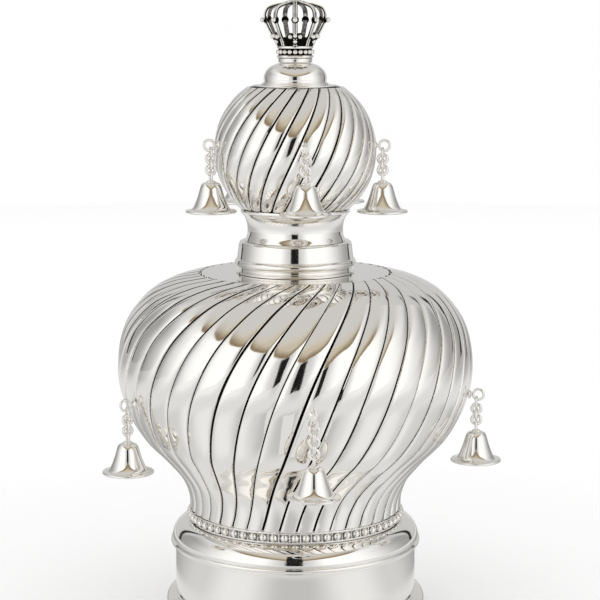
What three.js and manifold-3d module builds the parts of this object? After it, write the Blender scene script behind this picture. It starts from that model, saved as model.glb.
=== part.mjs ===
// Silver torah crown: a round base, a spirally fluted bowl, a plain neck, a fluted ball and a small
// crown of arches, hung with two rows of bells. Millimetres, +Z up, standing on z = 0.
import * as THREE from 'three';
import { mergeVertices } from 'three/addons/utils/BufferGeometryUtils.js';
import Module from 'manifold-3d';

// ---- driving dimensions ----
const GAP = 0.3;                 // clear space between pieces that touch
const WALL = 1.4;                // sheet thickness of the body
const ROUND = 24;                // sides of the large plain rings
const ROUND_SMALL = 16;          // sides of the small ones

const FOOT_R = 74.7;             // foot moulding
const FOOT_TOP = 16;
const SEAT_R = 71.4;             // flat ring it stands on
const BAND_R = 68.5;             // plain band
const BAND_TOP = 42.3;
const RIM_R = 71;                // rolled rim under the shoulder
const SHOULDER_TOP = 57.3;
const GALLERY_R = 60.5;          // beaded band
const GALLERY_TOP = 63.7;
const RING_DEEP = 2;             // how far the narrow rings reach inwards

const BOWL_LOBES = 40;
const BOWL_TOP_R = 54.4;         // mouth that the shoulder plate closes
const BOWL_TOP = 198.2;
// Outline of the bowl, bottom to top: waist, flare, widest part, shoulder.
const BOWL_OUTLINE = [
  [60, 64], [61.2, 75], [74, 93.5], [88, 109], [98.9, 130],
  [99.6, 153], [85.5, 184], [71, 193.5], [BOWL_TOP_R, BOWL_TOP],
];
// Its plain inside, from the mouth back down.
const BOWL_INSIDE = [
  [51.9, 196.6], [82.5, 181.5], [95.6, 156], [94.8, 131], [74, 98], [57.6, 75], [57, 64],
];
const BOWL_LEAN = [17, 32];      // how far the flutes lean from upright, low down and near the top, degrees
const BOWL_LEAN_RAMP = [0.4, 0.8];
const BOWL_PHASE = -21.9;        // where one groove crosses BOWL_PHASE_Z, degrees from the front
const BOWL_PHASE_Z = 150;

const BALL_LOBES = 27;
const BALL_R = 45.2;
const BALL_HALF_H = 43.6;        // slightly flattened
const BALL_Z = 266.2;            // its centre
const BALL_BOTTOM = 234.2;
const BALL_TOP = 301.2;
const BALL_LEAN = [25.6, 25.6];
const BALL_PHASE = -13.7;
const BALL_PHASE_Z = 265.7;
const GROOVE = 1.0;              // depth of the grooves between lobes

const PLATE_R = 51.8;            // flat plate in the bowl's mouth
const PLATE_THICK = 1.2;
const PLATE_HOLE_R = 28;
const NECK_R = 32;
const NECK_TOP = 216;
const CUP_WAIST_R = 26.7;
const CUP_TOP = 233.8;
const CUP_LIP_R = 30.4;
const CAP_R = 23.8;
const CAP_TOP = 314.2;
const DOME_R = 17.6;
const CIRCLET_R = 10.2;
const CIRCLET_TOP = 324;
const ARCHES = 9;
const ARCH_THICK = 1.4;
const ARCH_WIDE = 2.6;
// Outside edge of one arch, from the circlet to the hub.
const ARCH_OUTLINE = [
  [10.2, 324.3], [14.9, 333], [17.1, 339], [15.3, 344.7], [4.5, 348],
];
const HUB_R = 3;
const HUB_TOP = 349.2;
const FINIAL_R = 4.6;            // plain ball at the very top
const TOP = 362;

// The two rows of bells, hung by hand: each set's bearing from the front in degrees, the height of
// its eye, the half height of its long top link, and how many round links follow.
const UPPER = {
  name: 'upper', surfaceR: 45.5, eyeR: 50.4,
  sets: [
    { bearing: 6.6, eyeZ: 270.2, topLink: 2.3, links: 3 },
    { bearing: 77, eyeZ: 269.6, topLink: 3.0, links: 3 },
    { bearing: 148, eyeZ: 270, topLink: 3.0, links: 3 },
    { bearing: 219, eyeZ: 270, topLink: 3.0, links: 3 },
    { bearing: 291, eyeZ: 270.2, topLink: 3.0, links: 3 },
  ],
};
const LOWER = {
  name: 'lower', surfaceR: 99.1, eyeR: 104.2,
  sets: [
    { bearing: 5.5, eyeZ: 137, topLink: 2.9, links: 5 },
    { bearing: 77, eyeZ: 132.6, topLink: 3.3, links: 3 },
    { bearing: 150, eyeZ: 134, topLink: 3.3, links: 3 },
    { bearing: 225, eyeZ: 134, topLink: 3.3, links: 3 },
    { bearing: 298.5, eyeZ: 132, topLink: 3.3, links: 3 },
  ],
};
const WIRE_AROUND = 6;           // steps round a wire ring, and sides of its wire
const WIRE_SIDES = 3;
const HANG_IN = 1;               // the chains hang this much nearer the body than the eyes' middles
const EYE_R = 2.9;               // to the middle of the wire
const EYE_WIRE = 1.5;
const STUD_R = 1.1;              // the eye's stem, and the flange that it spreads into
const FLANGE_R = 2.4;
const LINK_R = 2.45;             // round chain links, to the middle of the wire
const LINK_WIRE = 2;
const JUMP_HALF_W = 1.9;         // the longer link that hangs in the eye
const LOOP_HALF = 2.85;          // the bell's own loop, half its height and half its width
const LOOP_HALF_W = 1.7;
const LOOP_WIRE = 1.4;
const BITE = 0.15;               // how far soldered or resting wires press into each other
const BELL_R = 14.1;
const BELL_H = 17;
const BELL_SIDES = 8;
// One bell above its rim: up the inside, then from the rim up the outside.
const BELL_OUTLINE = [
  [0, 14.6], [5, 11.5], [9.6, 1.2], [BELL_R, 0], [BELL_R, 1.1],
  [10.8, 1.9], [6.8, 11], [5, 15.6], [0, BELL_H],
];

// The bells reach further one way than another, so the axis stands this far from the middle of the
// whole thing's footprint, which is the origin.
const AXIS = [-4.9, 6.7];

// ---- materials ----
const silver = (roughness, color = 0xd6d4cf) =>
  new THREE.MeshStandardMaterial({ color, roughness, metalness: 1 });

// ---- helpers ----
const wasm = await Module();
wasm.setup();

const crown = new THREE.Group();
crown.position.set(AXIS[0], AXIS[1], 0);

function piece(name, geometry, roughness = 0.15, parent = crown) {
  const mesh = new THREE.Mesh(geometry, silver(roughness));
  mesh.name = name;
  parent.add(mesh);
  return mesh;
}

// An outline of [radius, height] points, turned round the Z axis. It runs anticlockwise, and closes
// on itself unless both its ends are on the axis.
function turned(outline, sides) {
  const solidCore = outline[0][0] === 0 && outline[outline.length - 1][0] === 0;
  const closed = solidCore ? outline : [...outline, outline[0]];
  const points = closed.map(([r, z]) => new THREE.Vector2(r, z));
  return new THREE.LatheGeometry(points, sides).rotateX(Math.PI / 2);
}

// Evenly spaced points on a smooth curve through a few given ones.
function smooth(points, count) {
  const curve = new THREE.SplineCurve(points.map(([r, z]) => new THREE.Vector2(r, z)));
  return curve.getSpacedPoints(count).map((p) => [p.x, p.y]);
}

// Points along an arc in the [radius, height] plane, angles in degrees.
function arc(r, z, radius, from, to, count, radiusZ = radius) {
  return Array.from({ length: count + 1 }, (_, i) => {
    const a = THREE.MathUtils.degToRad(from + ((to - from) * i) / count);
    return [r + radius * Math.cos(a), z + radiusZ * Math.sin(a)];
  });
}

function toManifold(geometry) {
  const bare = geometry.clone();
  bare.deleteAttribute('normal');
  bare.deleteAttribute('uv');
  const merged = mergeVertices(bare, 1e-4);
  return new wasm.Manifold(new wasm.Mesh({
    numProp: 3,
    vertProperties: new Float32Array(merged.attributes.position.array),
    triVerts: new Uint32Array(merged.index.array),
  }));
}

function joined(...geometries) {
  const solid = geometries.map(toManifold).reduce((sum, next) => sum.add(next));
  const mesh = solid.getMesh();
  const geometry = new THREE.BufferGeometry();
  geometry.setAttribute('position', new THREE.BufferAttribute(mesh.vertProperties, 3));
  geometry.setIndex(new THREE.BufferAttribute(mesh.triVerts, 1));
  return geometry;
}

// The turn of a groove along an outline, in radians for each outline point. A groove leans by the
// angle `lean`, which ramps up between two fractions of the outline's length.
function grooveTurns(outline, lean, ramp) {
  const steps = outline.slice(1).map(([r, z], i) =>
    Math.hypot(r - outline[i][0], z - outline[i][1]));
  const length = steps.reduce((a, b) => a + b, 0);
  const turns = [0];
  let along = 0;
  steps.forEach((step, i) => {
    along += step;
    const share = THREE.MathUtils.smoothstep((along - step / 2) / length, ...ramp);
    const angle = THREE.MathUtils.degToRad(THREE.MathUtils.lerp(lean[0], lean[1], share));
    const radius = (outline[i][0] + outline[i + 1][0]) / 2;
    turns.push(turns[i] + (step * Math.tan(angle)) / radius);
  });
  return turns;
}

// A hollow fluted shell. Outside, each lobe has a crest and a groove that winds upwards; inside it
// is plain. `inner` lists the inside points from the mouth back down to the foot.
function flutedShell({ outline, inner, lobes, lean, ramp = [0, 1], phase, phaseZ }) {
  const turns = grooveTurns(outline, lean, ramp);
  const at = outline.findIndex(([, z]) => z >= phaseZ);
  const part = (phaseZ - outline[at - 1][1]) / (outline[at][1] - outline[at - 1][1]);
  const turnAtPhase = THREE.MathUtils.lerp(turns[at - 1], turns[at], part);
  const start = THREE.MathUtils.degToRad(phase) - turnAtPhase;
  const rings = [];
  const positions = [];
  const addRing = (count, z, radiusAt, turn) => {
    rings.push({ first: positions.length / 3, count });
    for (let i = 0; i < count; i += 1) {
      const a = turn + (i * 2 * Math.PI) / count;
      positions.push(radiusAt(i) * Math.sin(a), -radiusAt(i) * Math.cos(a), z);
    }
  };
  outline.forEach(([r, z], row) => {
    const radiusAt = (i) => (i % 2 === 0 ? r - GROOVE : r);
    addRing(lobes * 2, z, radiusAt, start + turns[row]);
  });
  const topTurn = start + turns[turns.length - 1];
  inner.forEach(([r, z], row) => {
    const share = row / (inner.length - 1);
    addRing(lobes, z, () => r, THREE.MathUtils.lerp(topTurn, start, share));
  });
  const index = [];
  const fine = (ring, i) => ring.first + (i % ring.count);
  rings.forEach((low, k) => {
    const high = rings[(k + 1) % rings.length];
    if (low.count === high.count) {
      for (let i = 0; i < low.count; i += 1) {
        index.push(fine(low, i), fine(low, i + 1), fine(high, i + 1));
        index.push(fine(low, i), fine(high, i + 1), fine(high, i));
      }
      return;
    }
    const toInside = low.count > high.count;
    const [wide, narrow] = toInside ? [low, high] : [high, low];
    for (let i = 0; i < lobes; i += 1) {
      const fan = [
        [fine(wide, 2 * i), fine(wide, 2 * i + 1), fine(narrow, i)],
        [fine(wide, 2 * i + 1), fine(wide, 2 * i + 2), fine(narrow, i + 1)],
        [fine(wide, 2 * i + 1), fine(narrow, i + 1), fine(narrow, i)],
      ];
      fan.forEach(([a, b, c]) => index.push(...(toInside ? [a, b, c] : [a, c, b])));
    }
  });
  const geometry = new THREE.BufferGeometry();
  geometry.setAttribute('position', new THREE.Float32BufferAttribute(positions, 3));
  geometry.setIndex(index);
  return geometry;
}

// A closed wire ring in the XZ plane, oval if its half height differs from its half width.
function wireRing(halfWidth, halfHeight, wire, middleZ) {
  const [around, sides] = [WIRE_AROUND, WIRE_SIDES];
  const positions = [];
  const index = [];
  for (let i = 0; i < around; i += 1) {
    const a = Math.PI / 2 + (i * 2 * Math.PI) / around;
    for (let j = 0; j < sides; j += 1) {
      const b = Math.PI + (j * 2 * Math.PI) / sides;
      const out = (wire / 2) * Math.cos(b);
      positions.push(
        (halfWidth + out) * Math.cos(a),
        (wire / 2) * Math.sin(b),
        middleZ + (halfHeight + out) * Math.sin(a),
      );
      const [here, next] = [i * sides, ((i + 1) % around) * sides];
      const k = (j + 1) % sides;
      index.push(here + j, here + k, next + k, here + j, next + k, next + j);
    }
  }
  const geometry = new THREE.BufferGeometry();
  geometry.setAttribute('position', new THREE.Float32BufferAttribute(positions, 3));
  geometry.setIndex(index);
  return geometry;
}

const crosswise = (geometry) => geometry.rotateZ(Math.PI / 2);

// ---- base ----
function base() {
  const footInside = BAND_R - 2.5;
  piece('foot_ring', turned([
    [footInside, 0], [SEAT_R, 0],
    ...arc(FOOT_R - 4, FOOT_TOP / 2, 4, -45, 45, 2, 7.2),
    [BAND_R + 1.8, FOOT_TOP], [footInside, FOOT_TOP],
  ], ROUND));

  piece('base_band', turned([
    [BAND_R - WALL, FOOT_TOP + GAP], [BAND_R, FOOT_TOP + GAP],
    [BAND_R - 0.3, BAND_TOP], [BAND_R - WALL, BAND_TOP],
  ], ROUND));

  const shoulderFoot = BAND_TOP + GAP;
  piece('base_shoulder', turned([
    [BAND_R - WALL, shoulderFoot], [RIM_R - 0.6, shoulderFoot],
    [RIM_R, shoulderFoot + 2.2],
    ...arc(GALLERY_R - 0.5, shoulderFoot + 4, RIM_R - GALLERY_R - 0.2, 12, 72, 2,
      SHOULDER_TOP - shoulderFoot - 4),
    [GALLERY_R - RING_DEEP, SHOULDER_TOP], [GALLERY_R - RING_DEEP, SHOULDER_TOP - WALL],
    [BAND_R - WALL - 1, shoulderFoot + 8],
  ], ROUND));

  const [low, high] = [SHOULDER_TOP + GAP, GALLERY_TOP];
  piece('gallery_band', turned([
    [GALLERY_R - RING_DEEP, low], [GALLERY_R, low],
    [GALLERY_R, high], [GALLERY_R - RING_DEEP, high],
  ], ROUND));
}

// ---- bowl and shoulder plate ----
function bowl() {
  piece('fluted_bowl', flutedShell({
    outline: BOWL_OUTLINE, inner: BOWL_INSIDE,
    lobes: BOWL_LOBES, lean: BOWL_LEAN, ramp: BOWL_LEAN_RAMP,
    phase: BOWL_PHASE, phaseZ: BOWL_PHASE_Z,
  }), 0.2);

  const plateFloor = BOWL_TOP - PLATE_THICK;
  piece('shoulder_plate', turned([
    [PLATE_HOLE_R, plateFloor], [PLATE_R, plateFloor],
    [PLATE_R, BOWL_TOP], [PLATE_HOLE_R, BOWL_TOP],
  ], ROUND));
}

// ---- neck ----
function neck() {
  const foot = BOWL_TOP + GAP;
  const inside = CUP_WAIST_R - WALL;
  piece('neck_collar', turned([
    [NECK_R - WALL - 1, foot], [NECK_R, foot], [NECK_R - 0.5, foot + 3],
    ...arc(NECK_R, foot + 5.6, 2, -70, 70, 2, 2.3),
    [NECK_R - 0.2, NECK_TOP - 1.4], [NECK_R - 1.4, NECK_TOP],
    [inside, NECK_TOP], [inside, NECK_TOP - WALL],
    [NECK_R - WALL - 1, NECK_TOP - WALL - 1],
  ], ROUND_SMALL));

  const cupFoot = NECK_TOP + GAP;
  const side = smooth([
    [CUP_WAIST_R + 1.4, cupFoot], [CUP_WAIST_R, cupFoot + 5.5],
    [CUP_WAIST_R + 1, cupFoot + 11.5], [CUP_LIP_R, CUP_TOP],
  ], 3);
  piece('neck_cup', turned([
    ...side, [CUP_LIP_R - 2.2, CUP_TOP], [inside, cupFoot + 9], [inside, cupFoot],
  ], ROUND_SMALL));
}

// ---- ball ----
function ball() {
  const elevation = (z) => THREE.MathUtils.radToDeg(Math.asin((z - BALL_Z) / BALL_HALF_H));
  const outside = arc(
    0, BALL_Z, BALL_R, elevation(BALL_BOTTOM), elevation(BALL_TOP), 6, BALL_HALF_H,
  );
  const skin = GROOVE + WALL;
  const hollow = (z) => {
    const share = (z - BALL_Z) / (BALL_HALF_H - skin / 2);
    return [(BALL_R - skin) * Math.sqrt(1 - share ** 2), z];
  };
  piece('fluted_ball', flutedShell({
    outline: outside,
    inner: [
      BALL_TOP, BALL_Z + 20, BALL_Z, BALL_Z - 20, BALL_BOTTOM,
    ].map(hollow),
    lobes: BALL_LOBES, lean: BALL_LEAN, phase: BALL_PHASE, phaseZ: BALL_PHASE_Z,
  }), 0.2);
}

// ---- cap, little crown and finial ----
function top() {
  const capFoot = BALL_TOP + GAP;
  piece('ball_cap', turned([
    [DOME_R - WALL, capFoot], [CAP_R, capFoot], [CAP_R, capFoot + 0.8], [DOME_R + 0.8, capFoot + 1],
    [DOME_R, capFoot + 5], [DOME_R - 2.6, CAP_TOP - 2.4], [CIRCLET_R, CAP_TOP],
    [CIRCLET_R - 3, CAP_TOP], [DOME_R - WALL, capFoot + 6],
  ], ROUND_SMALL));

  const ringFoot = CAP_TOP + GAP;
  piece('crown_circlet', turned([
    [CIRCLET_R - RING_DEEP, ringFoot], [CIRCLET_R - 0.6, ringFoot], [CIRCLET_R, ringFoot + 3],
    [CIRCLET_R, CIRCLET_TOP], [CIRCLET_R - RING_DEEP, CIRCLET_TOP],
  ], ROUND_SMALL));

  const inside = ARCH_OUTLINE.map(([r, z], i) =>
    (i < ARCH_OUTLINE.length - 1 ? [r - ARCH_THICK, z] : [r, z - ARCH_THICK]));
  const strap = new THREE.Shape(
    [...ARCH_OUTLINE, ...inside.reverse()].map(([r, z]) => new THREE.Vector2(r, z)),
  );
  const straps = Array.from({ length: ARCHES }, (_, i) => new THREE.ExtrudeGeometry(strap, {
    depth: ARCH_WIDE, bevelEnabled: false,
  })
    .translate(0, 0, -ARCH_WIDE / 2)
    .rotateX(Math.PI / 2)
    .rotateZ(-Math.PI / 2 + (i * 2 * Math.PI) / ARCHES));
  const hub = turned([
    [0, HUB_TOP - 3.2], [HUB_R + 2.2, HUB_TOP - 3.2], [HUB_R + 1.6, HUB_TOP - 0.6],
    [HUB_R, HUB_TOP], [0, HUB_TOP],
  ], ARCHES);
  piece('crown_arches', joined(...straps, hub));

  const finialFoot = HUB_TOP + GAP;
  piece('top_finial', turned([
    [0, finialFoot], [HUB_R, finialFoot], [2, finialFoot + 2.4],
    ...arc(0, TOP - FINIAL_R, FINIAL_R, -62, 90, 4),
  ], 10));
}

// ---- eye bolts, chains and bells ----
// Each set is built on the axis of its eye, with the body towards +Y, then carried to its bearing.
function hangingSet(row, { bearing, eyeZ, topLink, links }, number) {
  const set = new THREE.Group();
  const a = THREE.MathUtils.degToRad(bearing);
  set.position.set(row.eyeR * Math.sin(a), -row.eyeR * Math.cos(a), eyeZ);
  set.rotation.z = a;
  crown.add(set);

  const back = row.eyeR - row.surfaceR - GAP;
  const stemEnd = back - EYE_R + BITE;
  const stud = turned([
    [0, 0], [FLANGE_R, 0], [STUD_R, 1.2], [STUD_R, stemEnd], [0, stemEnd],
  ], 5).rotateX(Math.PI / 2).translate(0, back, 0);
  const eye = crosswise(wireRing(EYE_R, EYE_R, EYE_WIRE, 0));
  piece(`${row.name}_eye_bolt_${number}`, joined(eye, stud), 0.15, set);

  const topZ = -(EYE_R + topLink - (EYE_WIRE + LOOP_WIRE) / 2 - 2 * GAP);
  const firstZ = topZ - (topLink + LINK_R - (LOOP_WIRE + LINK_WIRE) / 2 + BITE);
  const pitch = 2 * LINK_R - LINK_WIRE + BITE;
  const rings = Array.from({ length: links }, (_, i) => {
    const link = wireRing(LINK_R, LINK_R, LINK_WIRE, firstZ - i * pitch);
    return i % 2 === 0 ? crosswise(link) : link;
  });
  const top = wireRing(JUMP_HALF_W, topLink, LOOP_WIRE, topZ);
  const chain = joined(top, ...rings).translate(0, HANG_IN, 0);
  piece(`${row.name}_chain_${number}`, chain, 0.15, set);

  const lastZ = firstZ - (links - 1) * pitch;
  const loopZ = lastZ - (LINK_R + LOOP_HALF - (LINK_WIRE + LOOP_WIRE) / 2 - GAP);
  const rim = loopZ - LOOP_HALF - BELL_H;
  const shell = turned(BELL_OUTLINE, BELL_SIDES).translate(0, 0, rim);
  const loop = wireRing(LOOP_HALF_W, LOOP_HALF, LOOP_WIRE, loopZ);
  const bell = joined(shell, loop).translate(0, HANG_IN, 0);
  piece(`${row.name}_bell_${number}`, bell, 0.1, set);
}

base();
bowl();
neck();
ball();
top();
[UPPER, LOWER].forEach((row) => {
  row.sets.forEach((set, i) => hangingSet(row, set, i + 1));
});

export default crown;
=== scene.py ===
"""Fine silver surfaces for a torah crown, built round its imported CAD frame."""
import math

import bmesh
import bpy
import numpy as np
from bpy.props import FloatProperty, FloatVectorProperty, IntProperty, PointerProperty
from mathutils import Matrix, Vector


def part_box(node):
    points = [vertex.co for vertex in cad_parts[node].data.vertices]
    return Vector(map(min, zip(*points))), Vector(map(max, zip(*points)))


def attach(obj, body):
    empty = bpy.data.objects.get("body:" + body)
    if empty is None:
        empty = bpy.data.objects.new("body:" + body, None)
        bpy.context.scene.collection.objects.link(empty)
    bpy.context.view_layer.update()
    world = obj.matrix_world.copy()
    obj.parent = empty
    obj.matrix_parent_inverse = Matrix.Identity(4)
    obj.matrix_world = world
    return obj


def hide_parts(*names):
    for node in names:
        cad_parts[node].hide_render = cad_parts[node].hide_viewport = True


bl_info = {
    "name": "Torah Crown",
    "version": (1, 0, 0),
    "blender": (4, 5, 0),
    "location": "3D View > Sidebar > Torah Crown",
    "description": "Builds the silver surfaces, bells and chains of a torah crown",
    "category": "Add Mesh",
}

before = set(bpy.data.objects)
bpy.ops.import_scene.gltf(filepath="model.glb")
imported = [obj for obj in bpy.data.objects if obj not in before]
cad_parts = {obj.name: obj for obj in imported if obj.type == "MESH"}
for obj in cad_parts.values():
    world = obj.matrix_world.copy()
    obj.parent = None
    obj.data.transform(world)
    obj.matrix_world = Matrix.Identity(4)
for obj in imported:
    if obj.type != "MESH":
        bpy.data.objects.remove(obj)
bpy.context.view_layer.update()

MM = 0.001
BODY = "root"


def srgb(code):
    """A colour written as RRGGBB, turned to linear red, green, blue."""
    parts = [int(code[i:i + 2], 16) / 255 for i in (0, 2, 4)]
    return [c / 12.92 if c <= 0.04045 else ((c + 0.055) / 1.055) ** 2.4 for c in parts]


def node_middle(node):
    low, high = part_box(node)
    return (low + high) / 2


def node_span(node):
    """A round node's largest radius, lowest point and highest point, in millimetres."""
    low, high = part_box(node)
    return (high.x - low.x) / 2 / MM, low.z / MM, high.z / MM


AXIS = node_middle("foot_ring").xy

# ---------------------------------------------------------------- sizes, in millimetres
WALL = 1.2
BOWL_OUTLINE = [
    (60, 64), (60.6, 72), (64.5, 82), (74, 93.5), (87.5, 108), (97, 127),
    (100, 147), (95.8, 169), (84, 185.5), (70, 194), (54.4, 198.2),
]
BOWL_PHASE = (-21.9, 150)       # bearing and height where one groove passes
BALL_R = 45.2
BALL_HALF_H = 43.6
BALL_Z = 266.2
BALL_PHASE = (-13.7, 265.7)
LOBE_SQUARENESS = 3.2           # 2 gives round lobes, more gives flatter middles
ARCHES = 9
ARCH_OUTLINE = [
    (10.2, 323.9), (11.1, 326.3), (13.4, 330.2), (15.2, 333.6), (16.5, 336.4), (17.1, 339.4),
    (16.6, 342.6), (14.6, 344.9), (10.4, 346.3), (6.4, 347.1), (4.4, 347.9),
]
ARCH_PEARL_Z = 337.9
TREFOILS = 6
TREFOIL_Z = 329.3
EYE_R = 2.9
EYE_WIRE = 1.5
LINK_R = 2.5
LINK_WIRE = 1.85
LINK_PITCH = 3.05
LOOP_HALF = 2.85
LOOP_WIRE = 1.35
BELL_R = 14.1
BELL_H = 17.0
BELL_RIM = 0.75                 # half the thickness of its rolled rim
LINKS = 3                       # round links on a chain
MORE_LINKS = {"lower_chain_1": 5}
EYE_REACH = {"upper": 50.4, "lower": 104.2}     # from the axis to an eye's middle
SKIN_AT_EYE = {"upper": 44.6, "lower": 98.6}    # from the axis to the foot of its stem
ROWS = ("upper", "lower")
SETS = range(1, 6)

# ---------------------------------------------------------------- surfaces
POLISHING_HAZE = 0.08           # roughness that polishing lines add
HAZE_MM = 1.2
OXIDE_GRAIN_MM = 0.9
OXIDE_ROUGHNESS = 0.55

# ---------------------------------------------------------------- studio
TENT_R = 2.4                    # metres
TENT_MIDDLE = 0.18
GAP_MIDDLE = 1.0                # degrees to the left of the middle
CEILING = np.array([0.66, 0.65, 0.635])
TAN_DEEP = np.array(srgb("85704F"))
TAN_PALE = np.array(srgb("CFC5B2"))
UNLIT = 0.012                   # light of what is black
TAN_EDGE = 23                   # how high the tan wall starts in front, degrees
SEAM_BEARING = 134              # degrees from the front to the seams in the tent
UNDER_CROWN = 0.78              # the table's light close to the foot
FLAG_REACH = (0.096, 0.172)     # metres from the axis to a flag's near and far edge
FLAG_HALF = (0.0085, 0.019)     # half its width there
FLAGS = (("black_flag", 0.095, UNLIT), ("pale_flag", 0.0955, 0.8))   # name, height, light
FLOOR_R = 90
LENS = 111                      # on a sensor 36 mm wide
CAMERA_AWAY = 1.041
CAMERA_PITCH = math.radians(8.7)
AIM = (0.00265, 0.182)          # to the right of the axis, and height


# ---------------------------------------------------------------- settings
class CrownFlutes(bpy.types.PropertyGroup):
    bowl_lobes: IntProperty(name="Bowl flutes", description="Lobes round the bowl", default=40)
    ball_lobes: IntProperty(name="Ball flutes", description="Lobes round the ball", default=27)
    groove_width: FloatProperty(
        name="Groove width", description="Width of the blackened grooves",
        default=1.15 * MM, unit="LENGTH", precision=5)
    groove_depth: FloatProperty(
        name="Groove depth", description="Depth of the blackened grooves",
        default=0.8 * MM, unit="LENGTH", precision=5)
    lobe_crown: FloatProperty(
        name="Lobe crown", description="How far a lobe's middle stands above its edges",
        default=1.05 * MM, unit="LENGTH", precision=5)


class CrownTrim(bpy.types.PropertyGroup):
    gallery_beads: IntProperty(
        name="Gallery beads", description="Beads round the band under the bowl", default=64)
    circlet_pearls: IntProperty(
        name="Circlet pearls", description="Pearls round the little crown", default=20)
    pearl: FloatProperty(
        name="Pearl size", description="Diameter of the little crown's pearls",
        default=2.9 * MM, unit="LENGTH", precision=5)


class CrownFinish(bpy.types.PropertyGroup):
    silver: FloatVectorProperty(
        name="Silver", description="Colour of the polished silver", subtype="COLOR",
        default=srgb("F4F2EE"))
    oxide: FloatVectorProperty(
        name="Oxide", description="Colour of the blackened grooves", subtype="COLOR",
        default=srgb("15130F"))
    floor: FloatVectorProperty(
        name="Floor", description="Colour of the floor", subtype="COLOR",
        default=srgb("FFFFFF"))


# ---------------------------------------------------------------- mesh helpers
def as_object(name, bm, material, sharp=32):
    """Closes, smooths and links a mesh; edges sharper than `sharp` degrees stay crisp."""
    bmesh.ops.remove_doubles(bm, verts=bm.verts, dist=1e-7)
    bmesh.ops.recalc_face_normals(bm, faces=bm.faces)
    limit = math.radians(sharp)
    for edge in bm.edges:
        edge.smooth = len(edge.link_faces) == 2 and edge.calc_face_angle() < limit
    for face in bm.faces:
        face.smooth = True
    mesh = bpy.data.meshes.new(name)
    bm.to_mesh(mesh)
    bm.free()
    mesh.materials.append(material)
    obj = bpy.data.objects.new(name, mesh)
    bpy.context.collection.objects.link(obj)
    return obj


def stand_for(obj, node):
    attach(obj, BODY)
    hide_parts(node)


def add_grid(bm, points, tarnish=None, close_rows=True):
    """Adds a sheet of faces over points[row, column]; columns always close round."""
    layer = bm.verts.layers.float.get("tarnish") or bm.verts.layers.float.new("tarnish")
    rows, columns = points.shape[:2]
    made = [[bm.verts.new(points[r, c]) for c in range(columns)] for r in range(rows)]
    if tarnish is not None:
        for r in range(rows):
            for c in range(columns):
                made[r][c][layer] = float(tarnish[r, c])
    for r in range(rows if close_rows else rows - 1):
        low, high = made[r], made[(r + 1) % rows]
        for c in range(columns):
            n = (c + 1) % columns
            bm.faces.new((low[c], low[n], high[n], high[c]))
    return made


def polar(r, bearing, z):
    """Points in metres round the crown's axis; bearings run from the front towards +X."""
    x = AXIS[0] + r * MM * np.sin(bearing)
    y = AXIS[1] - r * MM * np.cos(bearing)
    return np.stack(np.broadcast_arrays(x, y, z * MM), axis=-1)


def rounded(outline, radius, steps=4, closed=True):
    """An outline of (radius, height) corners with each corner turned into a small curve."""
    corners = [np.array(p[:2], float) for p in outline]
    radii = [p[2] if len(p) > 2 else radius for p in outline]
    out = []
    count = len(corners)
    for i, corner in enumerate(corners):
        if not closed and i in (0, count - 1):
            out.append(corner)
            continue
        before, after = corners[i - 1], corners[(i + 1) % count]
        reach = min(radii[i], np.linalg.norm(before - corner) * 0.45,
                    np.linalg.norm(after - corner) * 0.45)
        start = corner + (before - corner) / np.linalg.norm(before - corner) * reach
        end = corner + (after - corner) / np.linalg.norm(after - corner) * reach
        for t in np.linspace(0, 1, steps + 1):
            out.append(start * (1 - t) ** 2 + corner * 2 * t * (1 - t) + end * t ** 2)
    return np.array(out)


def spline(points, per_span):
    """A smooth curve through the points."""
    p = np.array(points, float)
    ends = np.vstack([2 * p[0] - p[1], p, 2 * p[-1] - p[-2]])
    out = []
    for i in range(len(p) - 1):
        a, b, c, d = ends[i:i + 4]
        for t in np.linspace(0, 1, per_span, endpoint=False):
            out.append(0.5 * (2 * b + (c - a) * t + (2 * a - 5 * b + 4 * c - d) * t ** 2
                              + (3 * b - a - 3 * c + d) * t ** 3))
    return np.array(out + [p[-1]])


def evenly(points, count):
    """The same curve, stepped evenly along its length."""
    steps = np.r_[0, np.cumsum(np.linalg.norm(np.diff(points, axis=0), axis=1))]
    at = np.linspace(0, steps[-1], count)
    return np.stack([np.interp(at, steps, points[:, k]) for k in range(points.shape[1])], axis=1)


def curve(centre_r, centre_z, radius_r, radius_z, start, end, steps=10):
    """An arc in the (radius, height) plane, as a list of corners that need no rounding."""
    angles = np.radians(np.linspace(start, end, steps + 1))
    return [(centre_r + radius_r * math.cos(a), centre_z + radius_z * math.sin(a), 0)
            for a in angles]


def add_turned(bm, outline, sides=192, tarnish=None, closed=True):
    """Adds an outline turned round the crown's axis."""
    line = np.array(outline)
    bearing = np.arange(sides) * 2 * math.pi / sides
    points = polar(line[:, None, 0], bearing[None, :], line[:, None, 1])
    marks = None
    if tarnish is not None:
        marks = np.repeat(np.array(tarnish, float)[:, None], sides, axis=1)
    add_grid(bm, points, marks, close_rows=closed)


def mark_new(bm, before, value):
    """Writes the tarnish of every vertex added since `before`."""
    layer = bm.verts.layers.float.get("tarnish") or bm.verts.layers.float.new("tarnish")
    bm.verts.ensure_lookup_table()
    for vert in bm.verts[before:]:
        vert[layer] = value


def add_ball(bm, centre, radius):
    """Adds a small round bead, with no tarnish, at a point in metres."""
    before = len(bm.verts)
    bmesh.ops.create_icosphere(bm, subdivisions=2, radius=radius,
                               matrix=Matrix.Translation(centre))
    mark_new(bm, before, 0.0)


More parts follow.
